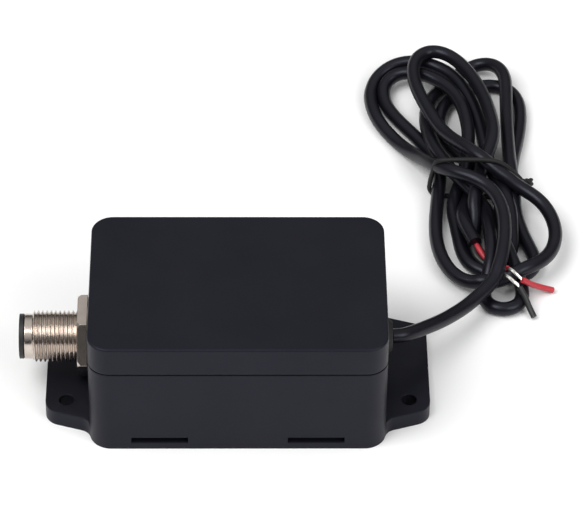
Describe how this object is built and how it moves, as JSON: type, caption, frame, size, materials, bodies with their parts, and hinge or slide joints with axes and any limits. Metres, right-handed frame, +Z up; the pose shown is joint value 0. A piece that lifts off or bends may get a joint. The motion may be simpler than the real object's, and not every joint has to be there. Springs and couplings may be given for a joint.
{
  "type": "sensor interface module",
  "caption": "Flanged black plastic module box with an M12 pin connector on one end and a tied two-core cable with bare ends on the other.",
  "frame": {"origin": "centre of the four ear holes, in the plane of the box's underside", "axes": "+X towards the cable end, +Y towards the back long wall, +Z up through the lid"},
  "size_m": [0.1289, 0.1435, 0.0307],
  "materials": {
    "black_plastic": "fine satin moulded",
    "black_rubber": "matte",
    "zinc_steel": "bright zinc plated",
    "nickel_brass": "nickel plated, satin",
    "insert_plastic": "satin",
    "gold_contacts": "gold flashed",
    "brown_insulation": "semi-gloss",
    "white_insulation": "semi-gloss",
    "gray_insulation": "semi-gloss",
    "black_insulation": "semi-gloss",
    "blue_insulation": "semi-gloss",
    "red_insulation": "semi-gloss",
    "green_laminate": "solder-masked",
    "ivory_nylon": "satin",
    "chip_epoxy": "matte",
    "ferrite": "matte",
    "can_aluminium": "bright",
    "cable_jacket": "semi-gloss PVC"
  },
  "bodies": {
    "housing": {"base_housing": "black_plastic", "lid_screws": "zinc_steel", "connector_shell": "nickel_brass", "connector_insert": "insert_plastic", "connector_pins": "gold_contacts", "connector_seal": "black_rubber", "brown_wire": "brown_insulation", "white_wire": "white_insulation", "gray_wire": "gray_insulation", "black_wire": "black_insulation", "blue_wire": "blue_insulation", "circuit_board": "green_laminate", "board_screws": "zinc_steel", "signal_header": "ivory_nylon", "signal_plug": "ivory_nylon", "power_header": "ivory_nylon", "power_plug": "ivory_nylon", "controller_chip": "chip_epoxy", "transceiver_chip": "chip_epoxy", "regulator_chip": "chip_epoxy", "power_inductor": "ferrite", "filter_capacitors": "can_aluminium", "clock_crystal": "can_aluminium", "input_fuse": "chip_epoxy", "chip_resistors": "chip_epoxy", "cable_grommet": "black_rubber", "cable_tail": "cable_jacket", "inner_tie": "ivory_nylon", "inner_red_core": "red_insulation", "inner_black_core": "black_insulation", "cable_lead": "cable_jacket", "cable_hank": "cable_jacket", "hank_tie": "cable_jacket", "free_red_core": "red_insulation", "free_black_core": "black_insulation"},
    "lid_group": {"lid": "black_plastic", "lid_seal": "black_rubber"},
    "washer": {"lock_washer": "nickel_brass"},
    "nut": {"lock_nut": "nickel_brass"}
  },
  "joints": [
    {"name": "lid_lift", "type": "slide", "parent": "housing", "child": "lid_group", "axis": [0, 0, 1], "range_m": [0, 0.035]},
    {"name": "nut_back_off", "type": "slide", "parent": "housing", "child": "washer", "axis": [-1, 0, 0], "range_m": [0, 0.01]},
    {"name": "nut_turn", "type": "hinge", "parent": "washer", "child": "nut", "pos_m": [-0.0358, 0, 0.0139], "axis": [-1, 0, 0], "range_deg": [0, 3600]}
  ],
  "couplings": [
    {"joint": "nut_turn", "follows": "nut_back_off", "rad_per_m": 6283.2}
  ]
}
